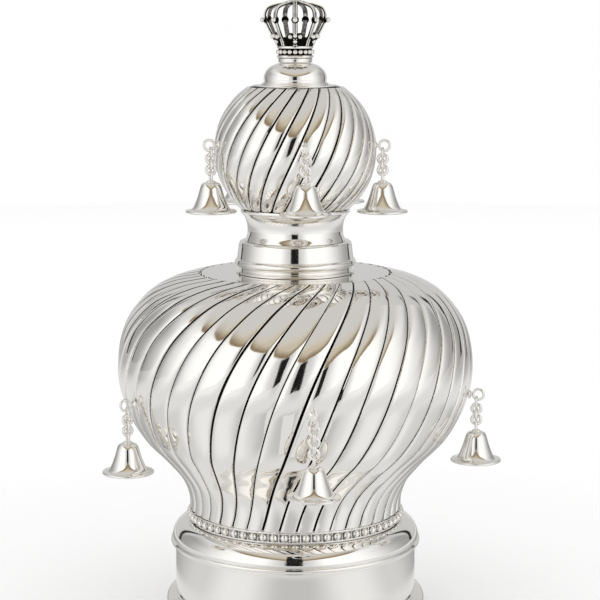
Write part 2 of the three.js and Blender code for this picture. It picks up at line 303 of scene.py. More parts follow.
def add_ring(bm, half_width, half_height, wire, place, around=32, sides=12):
    """Adds a closed wire ring, made in the local XZ plane in millimetres and put at `place`."""
    a = np.arange(around)[:, None] * 2 * math.pi / around
    b = np.arange(sides)[None, :] * 2 * math.pi / sides
    out = wire / 2 * np.cos(b)
    local = np.stack([(half_width + out) * np.cos(a),
                      wire / 2 * np.sin(b) + 0 * a,
                      (half_height + out) * np.sin(a)], axis=-1) * MM
    turned = local @ np.array(place.to_3x3()).T + np.array(place.translation)
    add_grid(bm, turned)


def add_post(bm, outline, place, sides=24, tarnish=0.0):
    """Adds an outline of (radius, height), starting and ending at its middle, turned round
    the local Z axis of `place`."""
    line = np.array(outline)
    a = np.arange(sides) * 2 * math.pi / sides
    local = np.stack([line[:, None, 0] * np.cos(a), line[:, None, 0] * np.sin(a),
                      line[:, None, 1] + 0 * a], axis=-1) * MM
    turned = local @ np.array(place.to_3x3()).T + np.array(place.translation)
    before = len(bm.verts)
    add_grid(bm, turned, close_rows=False)
    mark_new(bm, before, tarnish)


# ---------------------------------------------------------------- materials
def add_node(tree, kind, settings=None, **links):
    """Adds a node, sets its plain fields and sockets, and links the sockets that are given."""
    node = tree.nodes.new(kind)
    for key, value in (settings or {}).items():
        if hasattr(node, key):
            setattr(node, key, value)
        else:
            node.inputs[key].default_value = value
    for key, source in links.items():
        target = node.inputs[int(key[1:])] if key[0] == "i" and key[1:].isdigit() else (
            node.inputs[key.replace("_", " ")])
        tree.links.new(source, target)
    return node


def silver_material(name, silver, oxide, roughness, wave_mm, wave_height):
    """Sterling silver. The wave is the gentle unevenness that hammering and polishing leave:
    it bends reflections. The haze is fine polishing lines too small to show one by one."""
    material = bpy.data.materials.new(name)
    material.use_nodes = True
    tree = material.node_tree
    tree.nodes.clear()
    place = add_node(tree, "ShaderNodeTexCoord").outputs["Object"]
    wave = add_node(tree, "ShaderNodeTexNoise", {"Scale": 1000 / wave_mm, "Detail": 2.0,
                                                 "Roughness": 0.45}, Vector=place)
    lines = add_node(tree, "ShaderNodeTexNoise", {"Scale": 1000 / HAZE_MM, "Detail": 3.0},
                     Vector=place)
    haze = add_node(tree, "ShaderNodeMapRange", {
        "From Min": 0.35, "From Max": 0.75, "To Min": roughness,
        "To Max": roughness + POLISHING_HAZE}, Value=lines.outputs["Fac"])
    mark = add_node(tree, "ShaderNodeAttribute", {"attribute_name": "tarnish"})
    grain = add_node(tree, "ShaderNodeTexNoise", {"Scale": 1000 / OXIDE_GRAIN_MM, "Detail": 4.0},
                     Vector=place)
    worn = add_node(tree, "ShaderNodeMapRange", {
        "From Min": 0.3, "From Max": 0.7, "To Min": -0.12, "To Max": 0.12},
        Value=grain.outputs["Fac"])
    uneven = add_node(tree, "ShaderNodeMath", {"operation": "ADD"},
                      i0=mark.outputs["Fac"], i1=worn.outputs["Result"])
    black = add_node(tree, "ShaderNodeMapRange", {
        "interpolation_type": "SMOOTHSTEP", "From Min": 0.3, "From Max": 0.75},
        Value=uneven.outputs["Value"])
    colour = add_node(tree, "ShaderNodeMix", {"data_type": "RGBA"}, i0=black.outputs["Result"])
    colour.inputs[6].default_value = (*silver, 1)
    colour.inputs[7].default_value = (*oxide, 1)
    rough = add_node(tree, "ShaderNodeMix", {"data_type": "FLOAT"},
                     i0=black.outputs["Result"], i2=haze.outputs["Result"])
    rough.inputs[3].default_value = OXIDE_ROUGHNESS
    bump = add_node(tree, "ShaderNodeBump", {"Strength": 1.0, "Distance": wave_height * MM},
                    Height=wave.outputs["Fac"])
    shader = add_node(tree, "ShaderNodeBsdfPrincipled", {"Metallic": 1.0},
                      Base_Color=colour.outputs[2], Roughness=rough.outputs[0],
                      Normal=bump.outputs["Normal"])
    out = add_node(tree, "ShaderNodeOutputMaterial", {}, Surface=shader.outputs["BSDF"])
    out.is_active_output = True
    return material


def plain_material(name, colour, roughness):
    """Matt studio paper."""
    material = bpy.data.materials.new(name)
    material.use_nodes = True
    shader = material.node_tree.nodes["Principled BSDF"]
    shader.inputs["Base Color"].default_value = (*colour, 1)
    shader.inputs["Roughness"].default_value = roughness
    return material


def finish_named(name):
    """The crown's silver finishes, each made once."""
    if name in bpy.data.materials:
        return bpy.data.materials[name]
    look = bpy.context.scene.crown_finish
    silver, oxide = tuple(look.silver), tuple(look.oxide)
    made = {
        # Spun sheet, buffed: broad clean reflections with the faintest ripple.
        "sterling silver, spun and polished": (0.04, 40, 0.03),
        # Chased flutes: polished crests that bend reflections, grooves blackened.
        "sterling silver, chased and oxidised": (0.035, 17, 0.16),
        # Cast strip and pearls: softer polish, blackened recesses.
        "sterling silver, cast and oxidised": (0.08, 3, 0.12),
        # Drawn wire: thin bright lines along links and eyes, a little broken up.
        "sterling silver, drawn wire": (0.05, 5, 0.1),
        # Small spun bells: clean narrow reflections, bent slightly by the thin metal.
        "sterling silver, spun bell": (0.04, 16, 0.06),
    }[name]
    return silver_material(name, silver, oxide, *made)


# ---------------------------------------------------------------- operators
class CROWN_OT_base(bpy.types.Operator):
    """Foot moulding, plain band and rounded shoulder"""
    bl_idname = "crown.base"
    bl_label = "Base"

    def execute(self, context):
        metal = finish_named("sterling silver, spun and polished")
        foot_r, low, high = node_span("foot_ring")
        band_r, band_low, band_high = node_span("base_band")
        bm = bmesh.new()
        middle = (low + high) / 2
        outline = rounded([
            (band_r - 2.5, low), (foot_r - 4, low),
            *curve(foot_r - 6.3, middle - 0.3, 6.3, high / 2 - 0.2, -78, 78, 24),
            (band_r + 1.4, high - 0.5), (band_r + 0.2, high), (band_r - 2.5, high)], 0.25)
        add_turned(bm, outline)
        stand_for(as_object("foot_moulding", bm, metal), "foot_ring")

        bm = bmesh.new()
        outline = rounded([
            (band_r - WALL, band_low - 0.25), (band_r, band_low - 0.25),
            (band_r - 0.1, (band_low + band_high) / 2, 0), (band_r - 0.3, band_high + 0.25),
            (band_r - WALL, band_high + 0.25)], 0.1)
        add_turned(bm, outline)
        stand_for(as_object("plain_band", bm, metal), "base_band")

        rim_r, foot, top = node_span("base_shoulder")
        inner = 59.8
        bm = bmesh.new()
        outline = rounded([
            (band_r - WALL, foot), (band_r + 0.6, foot), (band_r + 0.9, foot + 0.5),
            (band_r + 0.7, foot + 0.9), (band_r + 1.3, foot + 1.0),
            *curve(rim_r - 1.2, foot + 2.5, 1.2, 1.5, -80, 85, 12),
            (rim_r - 1.0, foot + 4.1),
            *curve(inner - 0.4, foot + 4.2, rim_r - inner - 0.5, top - foot - 4.2, 4, 88, 28),
            (inner - 1.2, top), (inner - 1.2, top - WALL),
            *curve(inner - 0.4, foot + 4.2, rim_r - inner - 2.0, top - foot - 5.6, 84, 8, 12),
            (band_r - WALL, foot + 3)], 0.15, steps=3)
        add_turned(bm, outline)
        stand_for(as_object("rounded_shoulder", bm, metal), "base_shoulder")
        return {"FINISHED"}


class CROWN_OT_gallery(bpy.types.Operator):
    """Narrow band of beads and bars between two plain rims"""
    bl_idname = "crown.gallery"
    bl_label = "Beaded band"

    def execute(self, context):
        metal = finish_named("sterling silver, cast and oxidised")
        band_r, low, high = node_span("gallery_band")
        beads = context.scene.crown_trim.gallery_beads
        bm = bmesh.new()
        rim = 0.95
        floor_r = band_r - 0.9
        outline = [
            (band_r - 2, low), (band_r - 0.2, low), (band_r, low + 0.2), (band_r, low + rim - 0.2),
            (band_r - 0.2, low + rim), (floor_r, low + rim + 0.1), (floor_r, high - rim - 0.1),
            (band_r - 0.2, high - rim), (band_r, high - rim + 0.2), (band_r, high - 0.2),
            (band_r - 0.2, high), (band_r - 2, high)]
        marks = [0, 0, 0, 0, 0.15, 0.58, 0.58, 0.15, 0, 0, 0, 0]
        add_turned(bm, outline, 256, marks)
        middle = (low + high) / 2
        bead = (high - low) / 2 - rim + 0.12
        for i in range(beads):
            at = i * 2 * math.pi / beads
            point = polar(floor_r + 0.15, at, middle)
            add_ball(bm, Vector(point), bead * MM)
            between = at + math.pi / beads
            place = (Matrix.Translation(Vector(polar(floor_r + 0.1, between, low + rim)))
                     @ Matrix.Rotation(between, 4, "Z"))
            post = rounded([(0, 0), (0.42, 0), (0.3, 1.2), (0.5, 2.1), (0.3, 3.0), (0.42, 4.2),
                            (0, 4.2)], 0.1, 2, closed=False)
            add_post(bm, post, place, 8, 0.1)
        stand_for(as_object("beaded_band", bm, metal), "gallery_band")
        return {"FINISHED"}


def groove_turns(line, lean, ramp):
    """How far a groove has turned at each point of an outline, in radians."""
    steps = np.linalg.norm(np.diff(line, axis=0), axis=1)
    share = np.clip((np.cumsum(steps) / steps.sum() - ramp[0]) / (ramp[1] - ramp[0]), 0, 1)
    share = share * share * (3 - 2 * share)
    angle = np.radians(lean[0] + (lean[1] - lean[0]) * share)
    radius = (line[1:, 0] + line[:-1, 0]) / 2
    return np.r_[0, np.cumsum(steps * np.tan(angle) / radius)]


def lobe_columns(per_lobe):
    """Places across one lobe, in groove half widths at the edges and shares between them."""
    edge = [0.0, 0.45, 0.9, 1.15, 1.7]
    inside = np.linspace(0, 1, per_lobe - 2 * len(edge) + 3)[1:-1]
    return edge, inside


def fluted_skin(line, lobes, turns, settings, per_lobe, unevenness):
    """Points and tarnish of a fluted surface: line is its outline, turns its grooves' turn."""
    half = settings.groove_width / MM / 2
    edge, inside = lobe_columns(per_lobe)
    width = 2 * math.pi * line[:, 0] / lobes
    columns = []
    for k in edge:
        columns.append(half * k / width)
    first, last = columns[-1], 1 - columns[-1]
    for share in inside:
        columns.append(first + (last - first) * share)
    for k in reversed(edge[1:]):
        columns.append(1 - half * k / width)
    across = np.array(columns).T
    near = np.minimum(across, 1 - across) * width[:, None] / half
    cut = np.clip(1 - near / 1.0, 0, 1)
    lip = np.exp(-((near - 1.5) / 0.35) ** 2) * 0.12
    crown = settings.lobe_crown / MM * (2 * np.abs(across - 0.5)) ** LOBE_SQUARENESS
    depth = settings.groove_depth / MM * np.sqrt(cut) + crown - lip
    mark = np.clip(1.35 - near, 0, 1)
    lobe = np.arange(lobes)
    wander = 0.012 * np.sin(lobe * 2.4) + 0.008 * np.sin(lobe * 5.1 + 1)
    share = (lobe[None, :, None] + across[:, None, :]) / lobes * 2 * math.pi
    bearing = turns[:, None, None] + share + (wander / lobes)[None, :, None] * 2 * math.pi
    along = np.linspace(0, 1, len(line))
    ripple = unevenness * np.sin(along[:, None, None] * 17 + lobe[None, :, None] * 1.9
                                 + 3 * across[:, None, :])
    radius = line[:, 0][:, None, None] - depth[:, None, :] + ripple * (near[:, None, :] > 1.5)
    z = line[:, 1][:, None, None] + 0 * radius
    flat = (len(line), -1)
    points = polar(radius.reshape(flat), bearing.reshape(flat), z.reshape(flat))
    tarnish = np.repeat(mark[:, None, :], lobes, axis=1).reshape(flat)
    return points, tarnish


def add_fluted_shell(bm, line, inner, lobes, lean, ramp, phase, settings, per_lobe, unevenness):
    """A hollow shell: fluted outside, plain inside."""
    turns = groove_turns(line, lean, ramp)
    passing = np.interp(phase[1], line[:, 1], turns)
    turns = turns - passing + math.radians(phase[0])
    skin, tarnish = fluted_skin(line, lobes, turns, settings, per_lobe, unevenness)
    columns = skin.shape[1]
    bearing = np.arctan2(skin[-1, :, 0] - AXIS[0], AXIS[1] - skin[-1, :, 1])
    back = np.arctan2(skin[0, :, 0] - AXIS[0], AXIS[1] - skin[0, :, 1])
    foot = polar(inner[-1:, None, 0], back[None, :], inner[-1:, None, 1])
    drift = np.linspace(0, 1, len(inner))[:, None]
    turn = np.unwrap(back) - np.unwrap(bearing)
    plain = polar(inner[:, None, 0], np.unwrap(bearing)[None, :] + drift * turn[None, :],
                  inner[:, None, 1])
    plain[-1] = foot[0]
    points = np.concatenate([skin, plain])
    marks = np.concatenate([tarnish, np.zeros((len(inner), columns))])
    add_grid(bm, points, marks)


class CROWN_OT_bowl(bpy.types.Operator):
    """Large bowl with spiral flutes, and the flat plate that closes it"""
    bl_idname = "crown.bowl"
    bl_label = "Fluted bowl"

    def execute(self, context):
        flutes = context.scene.crown_flutes
        metal = finish_named("sterling silver, chased and oxidised")
        bm = bmesh.new()
        line = evenly(spline(BOWL_OUTLINE, 12), 118)
        inside = evenly(spline([(r - 3.2, z) for r, z in BOWL_OUTLINE[1:-1]], 6), 14)[::-1]
        ledge = [(53.6, 197.2), (51, 196.6), (51, 195.4), (60, 194)]
        inner = np.array([*ledge, *inside[1:], (57.6, 64)])
        add_fluted_shell(bm, line, inner, flutes.bowl_lobes, (17, 32), (0.4, 0.8),
                         BOWL_PHASE, flutes, 15, 0.06)
        stand_for(as_object("fluted_bowl_skin", bm, metal, 50), "fluted_bowl")

        _, low, high = node_span("shoulder_plate")
        plate_r = BOWL_OUTLINE[-1][0] - 1.3
        bm = bmesh.new()
        outline = rounded([
            (29, low), (plate_r - 3, low), (plate_r, low + 0.5), (plate_r, high - 0.5),
            (plate_r - 0.5, high - 0.1), (42.6, high, 0.05), (42.4, high - 0.12, 0.05),
            (42.2, high, 0.05), (29, high)], 0.1)
        add_turned(bm, outline)
        metal = finish_named("sterling silver, spun and polished")
        stand_for(as_object("flat_plate", bm, metal), "shoulder_plate")
        return {"FINISHED"}


class CROWN_OT_neck(bpy.types.Operator):
    """Ring and plain tube of the neck, and the waisted cup above"""
    bl_idname = "crown.neck"
    bl_label = "Neck"

    def execute(self, context):
        metal = finish_named("sterling silver, spun and polished")
        ring_r, foot, top = node_span("neck_collar")
        tube_r = ring_r - 2
        bm = bmesh.new()
        outline = rounded([
            (tube_r - 2.4, foot - 0.2), (tube_r + 1.2, foot - 0.2), (tube_r + 1.4, foot + 0.9),
            (tube_r - 0.2, foot + 1.6, 0.5), (tube_r - 0.4, foot + 3.0, 0.5),
            *curve(tube_r, foot + 5.6, 2, 2.2, -72, 78, 16),
            (tube_r + 0.5, foot + 8.1, 0.3), (tube_r - 0.4, top - 2.2, 0.2),
            *curve(tube_r - 2.2, top - 1.8, 1.8, 1.8, 6, 84, 8),
            (26, top), (26, top - 1.4), (tube_r - 2.4, top - 2.6)], 0.2)
        add_turned(bm, outline)
        stand_for(as_object("neck_tube", bm, metal), "neck_collar")

        lip_r, low, high = node_span("neck_cup")
        waist = 26.7
        side = spline([(waist + 1.6, low - 0.2), (waist + 0.1, low + 4), (waist + 0.2, low + 9),
                       (waist + 1.6, low + 13.2), (lip_r, high - 1.6)], 7)
        bm = bmesh.new()
        outline = [*map(tuple, side), (lip_r + 0.2, high - 0.8), (lip_r, high),
                   (lip_r - 2, high), (waist - 1.2, low + 9), (waist - 1.2, low - 0.2)]
        add_turned(bm, outline)
        stand_for(as_object("waisted_cup", bm, metal), "neck_cup")
        return {"FINISHED"}


class CROWN_OT_ball(bpy.types.Operator):
    """Upper ball with spiral flutes"""
    bl_idname = "crown.ball"
    bl_label = "Fluted ball"

    def execute(self, context):
        flutes = context.scene.crown_flutes
        metal = finish_named("sterling silver, chased and oxidised")
        _, low, high = node_span("fluted_ball")
        ends = [math.asin((z - BALL_Z) / BALL_HALF_H) for z in (low, high)]
        a = np.linspace(*ends, 84)
        line = np.stack([BALL_R * np.cos(a), BALL_Z + BALL_HALF_H * np.sin(a)], axis=1)
        skin = 3.0
        b = np.linspace(ends[1], ends[0], 12)
        inner = np.stack([(BALL_R - skin) * np.cos(b), BALL_Z + BALL_HALF_H * np.sin(b)], axis=1)
        bm = bmesh.new()
        add_fluted_shell(bm, line, inner, flutes.ball_lobes, (25.6, 25.6), (0, 1),
                         BALL_PHASE, flutes, 17, 0.05)
        stand_for(as_object("fluted_ball_skin", bm, metal, 50), "fluted_ball")
        return {"FINISHED"}


class CROWN_OT_cap(bpy.types.Operator):
    """Flat disc, little steps and dome on top of the ball"""
    bl_idname = "crown.cap"
    bl_label = "Ball cap"

    def execute(self, context):
        metal = finish_named("sterling silver, spun and polished")
        cap_r, low, high = node_span("ball_cap")
        dome_r = 17.6
        bm = bmesh.new()
        outline = rounded([
            (dome_r - 1.4, low), (cap_r, low), (cap_r, low + 0.7),
            (dome_r + 1.6, low + 0.9), (dome_r + 1.5, low + 1.5), (dome_r + 0.6, low + 1.6),
            (dome_r + 0.5, low + 2.3), (dome_r - 0.2, low + 2.4),
            *curve(dome_r - 9.4, low + 4.3, 9.3, high - low - 4.5, -6, 78, 26),
            (9.6, high), (7.4, high), (dome_r - 4, low + 8), (dome_r - 1.4, low + 5)], 0.18)
        add_turned(bm, outline)
        stand_for(as_object("domed_cap", bm, metal), "ball_cap")
        return {"FINISHED"}


class CROWN_OT_circlet(bpy.types.Operator):
    """Rings and pearl row of the little crown"""
    bl_idname = "crown.circlet"
    bl_label = "Circlet"

    def execute(self, context):
        metal = finish_named("sterling silver, cast and oxidised")
        trim = context.scene.crown_trim
        ring_r, low, high = node_span("crown_circlet")
        bm = bmesh.new()
        corners = [
            (8.2, low, 0), (9.0, low, 0), (9.5, low + 0.6, 0), (9.6, low + 2.3, 0),
            (9.3, low + 2.5, 0.8), (9.5, low + 2.7, 0.2), (ring_r - 0.1, low + 3.0, 0),
            (ring_r, low + 3.5, 0), (ring_r - 0.2, low + 4.0, 0), (9.2, low + 4.2, 1),
            (9.2, low + 7.7, 1), (ring_r - 0.2, low + 7.9, 0), (ring_r, low + 8.4, 0),
            (ring_r - 0.1, low + 9.0, 0), (9.6, high, 0.5), (8.2, high, 0)]
        add_turned(bm, [c[:2] for c in corners], 96, [c[2] for c in corners])
        for i in range(trim.circlet_pearls):
            at = i * 2 * math.pi / trim.circlet_pearls
            add_ball(bm, Vector(polar(9.35, at, low + 5.95)), trim.pearl / 2 * 0.94)
        stand_for(as_object("pearl_circlet", bm, metal), "crown_circlet")
        return {"FINISHED"}


def add_strip(bm, line, at, offset, profile, tarnish):
    """Sweeps a small closed profile of (sideways, outward) points along an arch. The arch's
    line is (radius, height), it stands at bearing `at`, moved sideways by `offset`."""
    step = np.gradient(line, axis=0)
    step /= np.linalg.norm(step, axis=1)[:, None]
    out = np.stack([step[:, 1], -step[:, 0]], axis=1)
    profile = np.array(profile)
    r = line[:, None, 0] + out[:, None, 0] * profile[None, :, 1]
    z = line[:, None, 1] + out[:, None, 1] * profile[None, :, 1]
    side = offset + profile[None, :, 0] + 0 * r
    x = AXIS[0] + (r * math.sin(at) + side * math.cos(at)) * MM
    y = AXIS[1] + (-r * math.cos(at) + side * math.sin(at)) * MM
    points = np.stack([x, y, z * MM], axis=-1)
    before = len(bm.verts)
    made = add_grid(bm, points, close_rows=False)
    bm.faces.new(made[0])
    bm.faces.new(made[-1])
    mark_new(bm, before, tarnish)


def round_profile(half_width, height, steps=10):
    angles = np.arange(steps) * 2 * math.pi / steps
    return [(half_width * math.cos(a), height * math.sin(a)) for a in angles]


class CROWN_OT_arches(bpy.types.Operator):
    """Open arches, pearls and trefoils of the little crown"""
    bl_idname = "crown.arches"
    bl_label = "Arches"

    def execute(self, context):
        metal = finish_named("sterling silver, cast and oxidised")
        pearl = context.scene.crown_trim.pearl / 2
        line = evenly(spline(ARCH_OUTLINE, 6), 40)
        pearl_r = np.interp(ARCH_PEARL_Z, line[:, 1], line[:, 0])
        bm = bmesh.new()
        strap = rounded([(-1.35, -0.55), (1.35, -0.55), (1.35, -0.1), (-1.35, -0.1)], 0.15, 1)
        lining = rounded([(-1.3, -0.8), (1.3, -0.8), (1.3, -0.5), (-1.3, -0.5)], 0.1, 1)
        for i in range(ARCHES):
            at = i * 2 * math.pi / ARCHES
            add_strip(bm, line, at, 0, strap, 1.0)
            add_strip(bm, line, at, 0, lining, 0.56)
            for side in (-0.62, 0.62):
                add_strip(bm, line, at, side, round_profile(0.42, 0.45), 0.0)
            turn = Matrix.Rotation(at, 4, "Z") @ Matrix.Rotation(math.pi / 2, 4, "X")
            boss = Matrix.Translation(Vector(polar(pearl_r - 0.5, at, ARCH_PEARL_Z))) @ turn
            add_post(bm, [(0, -0.4), (2.0, -0.4), (2.1, 0.3), (1.5, 0.8), (0, 0.8)], boss, 20, 1.0)
            add_ball(bm, Vector(polar(pearl_r + 1.3, at, ARCH_PEARL_Z)), pearl * 1.03)

        for i in range(TREFOILS):
            at = i * 2 * math.pi / TREFOILS
            radius = np.interp(TREFOIL_Z, line[:, 1], line[:, 0]) + 0.5
            low_r = np.interp(TREFOIL_Z - 3.1, line[:, 1], line[:, 0]) + 0.6
            spots = [(0, TREFOIL_Z, radius), (-0.205, TREFOIL_Z - 0.5, radius - 0.2),
                     (0.205, TREFOIL_Z - 0.5, radius - 0.2), (0, TREFOIL_Z - 3.1, low_r)]
            for turn_by, z, r in spots:
                bearing = at + turn_by
                turn = Matrix.Rotation(bearing, 4, "Z") @ Matrix.Rotation(math.pi / 2, 4, "X")
                plate = Matrix.Translation(Vector(polar(r - 0.9, bearing, z))) @ turn
                add_post(bm, [(0, -0.5), (1.8, -0.5), (1.9, 0.1), (1.4, 0.5), (0, 0.5)],
                         plate, 18, 1.0)
                add_ball(bm, Vector(polar(r, bearing, z)), pearl * 0.88)

        skirt = [(9.0, 324.0), (10.3, 324.0), (11.0, 325.9), (12.1, 328.1), (11.4, 328.4),
                 (9.8, 325.8)]
        add_turned(bm, skirt, 96, [1] * len(skirt))
        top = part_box("crown_arches")[1].z / MM
        hub = [(0, top - 3.0), (4.4, top - 3.0), (5.0, top - 2.2), (4.3, top - 1.2),
               (3.2, top - 0.5), (3.0, top), (0, top)]
        add_turned(bm, hub, 48, [0.9, 0.9, 0.6, 0.5, 0.3, 0.2, 0.2], closed=False)
        stand_for(as_object("little_crown", bm, metal), "crown_arches")
        return {"FINISHED"}


class CROWN_OT_finial(bpy.types.Operator):
    """Small plain ball at the very top"""
    bl_idname = "crown.finial"
    bl_label = "Finial"

    def execute(self, context):
        metal = finish_named("sterling silver, drawn wire")
        low, high = (corner.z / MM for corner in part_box("top_finial"))
        radius = 4.6
        bm = bmesh.new()
        outline = rounded([
            (0, low), (3.0, low), (3.1, low + 0.6), (2.0, low + 1.4, 0.6), (1.8, low + 2.4, 0.4),
            *curve(0, high - radius, radius, radius, -66, 90, 26)], 0.15, closed=False)
        add_turned(bm, outline, 64, closed=False)
        stand_for(as_object("plain_ball", bm, metal), "top_finial")
        return {"FINISHED"}


def hanging_place(row, number):
    """Where a set hangs: its bearing, the middle of its eye, and its bell's middle and rim."""
    eye = node_middle(f"{row}_eye_bolt_{number}")
    low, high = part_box(f"{row}_bell_{number}")
    bell = (low + high) / 2
    offset = bell.xy - AXIS
    bearing = math.atan2(offset.x, -offset.y)
    return bearing, eye.z, bell, low.z


def facing(number, bearing):
    """A chain's own twist. It hangs freely, so the front ones have turned a quarter."""
    return bearing + (math.pi / 2 if number == 1 else 0)


class CROWN_OT_eyes(bpy.types.Operator):
    """Eye bolts that the chains hang from"""
    bl_idname = "crown.eyes"
    bl_label = "Eye bolts"

    def execute(self, context):
        metal = finish_named("sterling silver, drawn wire")
        for row in ROWS:
            for number in SETS:
                bearing, eye_z, _, _ = hanging_place(row, number)
                reach, skin = EYE_REACH[row], SKIN_AT_EYE[row]
                middle = Vector(polar(reach, bearing, eye_z / MM))
                bm = bmesh.new()
                place = Matrix.Translation(middle) @ Matrix.Rotation(
                    bearing + math.pi / 2, 4, "Z")
                add_ring(bm, EYE_R, EYE_R, EYE_WIRE, place, 40, 14)
                out = Matrix.Rotation(bearing, 4, "Z") @ Matrix.Rotation(math.pi / 2, 4, "X")
                foot = Matrix.Translation(Vector(polar(skin, bearing, eye_z / MM))) @ out
                length = reach - skin - EYE_R
                stem = rounded([
                    (0, 0), (2.3, 0), (2.4, 0.9), (1.5, 1.5), (0.8, 1.9), (0.85, length - 0.5),
                    (1.0, length + 0.2), (0, length + 0.4)], 0.25, 3, closed=False)
                add_post(bm, stem, foot)
                name = f"{row}_eye_{number}"
                stand_for(as_object(name, bm, metal, 60), f"{row}_eye_bolt_{number}")
        return {"FINISHED"}


class CROWN_OT_chains(bpy.types.Operator):
    """Short chains of one long link and several round ones"""
    bl_idname = "crown.chains"
    bl_label = "Chains"

    def execute(self, context):
        metal = finish_named("sterling silver, drawn wire")
        for row in ROWS:
            for number in SETS:
                node = f"{row}_chain_{number}"
                bearing, eye_z, bell, rim = hanging_place(row, number)
                links = MORE_LINKS.get(node, LINKS)
                loop = rim / MM + BELL_H + LOOP_HALF
                last = loop + LINK_R + LOOP_HALF - (LINK_WIRE + LOOP_WIRE) / 2 - 0.1
                first = last + (links - 1) * LINK_PITCH
                lowest_eye = eye_z / MM - EYE_R + (EYE_WIRE + LOOP_WIRE) / 2 + 0.1
                reach = lowest_eye - (first + LINK_R - (LINK_WIRE + LOOP_WIRE) / 2)
                half = reach / 2
                bm = bmesh.new()
                twist = facing(number, bearing)

                def at(height, quarter):
                    return (Matrix.Translation((bell.x, bell.y, height * MM))
                            @ Matrix.Rotation(twist + quarter * math.pi / 2, 4, "Z"))

                lean = 0.6 if number == 1 else 0.0
                add_ring(bm, 1.9, half, LOOP_WIRE, at(lowest_eye - half, lean), 36, 10)
                for i in range(links):
                    add_ring(bm, LINK_R, LINK_R, LINK_WIRE,
                             at(first - i * LINK_PITCH, (i + 1) % 2), 32, 12)
                stand_for(as_object(f"{row}_links_{number}", bm, metal, 60), node)
        return {"FINISHED"}


class CROWN_OT_bells(bpy.types.Operator):
    """Ten small spun bells"""
    bl_idname = "crown.bells"
    bl_label = "Bells"

    def execute(self, context):
        metal = finish_named("sterling silver, spun bell")
        outside = spline([(0.3, 16.98), (2.6, 16.9), (4.6, 16.2), (5.7, 14.6), (6.5, 12),
                          (7.4, 9), (8.5, 6), (9.6, 3.6), (10.6, 2.35), (11.8, 1.75),
                          (13.4, 1.5)], 5)
        inside = spline([(13.2, 0.1), (11.4, 0.6), (9.9, 1.6), (8.5, 4), (7.2, 7.4), (6, 11.6),
                         (4.6, 14.6), (2, 15.9), (0.3, 16.1)], 4)
        outline = [(0, 17.0), *map(tuple, outside),
                   *[c[:2] for c in curve(BELL_R - BELL_RIM, BELL_RIM, BELL_RIM, BELL_RIM,
                                          80, -80, 8)],
                   *map(tuple, inside), (0, 16.1)]
        washer = rounded([(0, 16.8), (2.5, 16.8), (2.6, 17.2), (2.0, 17.7), (0, 17.8)], 0.2, 3,
                         closed=False)
        for row in ROWS:
            for number in SETS:
                bearing, _, bell, rim = hanging_place(row, number)
                bm = bmesh.new()
                base = Matrix.Translation((bell.x, bell.y, rim))
                add_post(bm, outline, base, 72)
                add_post(bm, washer, base, 28)
                loop = (Matrix.Translation((bell.x, bell.y, rim + (BELL_H + LOOP_HALF) * MM))
                        @ Matrix.Rotation(facing(number, bearing), 4, "Z"))
                add_ring(bm, 1.75, LOOP_HALF, LOOP_WIRE, loop, 32, 12)
                stand_for(as_object(f"{row}_bell_shell_{number}", bm, metal, 40),
                          f"{row}_bell_{number}")
        return {"FINISHED"}


# ---------------------------------------------------------------- studio
def ease(value, low, high):
    """0 below low, 1 above high, smooth between."""
    t = np.clip((value - low) / (high - low), 0, 1)
    return t * t * (3 - 2 * t)


def blend(below, above, share):
    return below + (np.asarray(above) - below) * share[..., None]


def tent_glow(bearing, rise):
    """The tent's light by direction, in degrees: bright front walls with a dark gap between
    them for the lens, a tan wall above, grey sides and ceiling, and dark seams at the back."""
    side = np.abs(bearing)
    gap = np.abs(bearing + GAP_MIDDLE)
    low = 1 - ease(rise, 24, 48)
    level = 1 - ease(rise, 0, 3)
    shade = 1.15 - 0.78 * ease(side, 52, 128) * low - 0.3 * ease(side, 60, 120) * (1 - low)
    shade = shade * (1 - 0.4 * (1 - ease(gap, 9, 32)) * low)
    behind = ease(side, 132, 138)
    shade = shade + (0.62 + 0.3 * ease(side, 158, 176) * level - shade) * behind
    glow = np.repeat(shade[..., None], 3, axis=-1)
    glow = blend(glow, CEILING, ease(rise, 36, 58))
    edge = TAN_EDGE + 0.3 * side
    tan = ease(rise - edge, 0, 2) * (1 - ease(rise, 46, 62)) * (1 - ease(side, 62, 108))
    depth = ease(rise - edge, 0, 16)
    glow = blend(glow, blend(np.broadcast_to(TAN_DEEP, glow.shape), TAN_PALE, depth), tan)
    seam = (1 - ease(np.abs(side - SEAM_BEARING - 0.5 * np.maximum(rise, 0)), 2.2, 4)) * (
        1 - ease(rise, 28, 38))
    opening = (1 - ease(gap, 7, 8.5)) * (1 - ease(rise, 23, 25.5))
    return blend(glow, np.full(3, UNLIT), np.maximum(seam, opening))


def table_glow(bearing, reach):
    """The table's light by direction in degrees and distance in metres: paler in front, with
    the crown's own soft shade round its foot."""
    side = np.abs(bearing)
    far = 0.86 + 0.12 * ease(side, 12, 42) - 0.5 * ease(side, 70, 130)
    far = far * (1 - 0.2 * (1 - ease(side, 4, 16)))
    near = 0.58 + 0.32 * ease(side, 8, 42) - 0.2 * ease(side, 52, 82) - 0.3 * ease(side, 88, 140)
    shade = UNDER_CROWN + (near - UNDER_CROWN) * ease(reach, 0.105, 0.14)
    shade = shade + (0.8 - shade) * ease(reach, 0.3, 0.42)
    shade = shade + (far - shade) * ease(reach, 0.5, 1.2)
    return np.repeat(shade[..., None], 3, axis=-1)


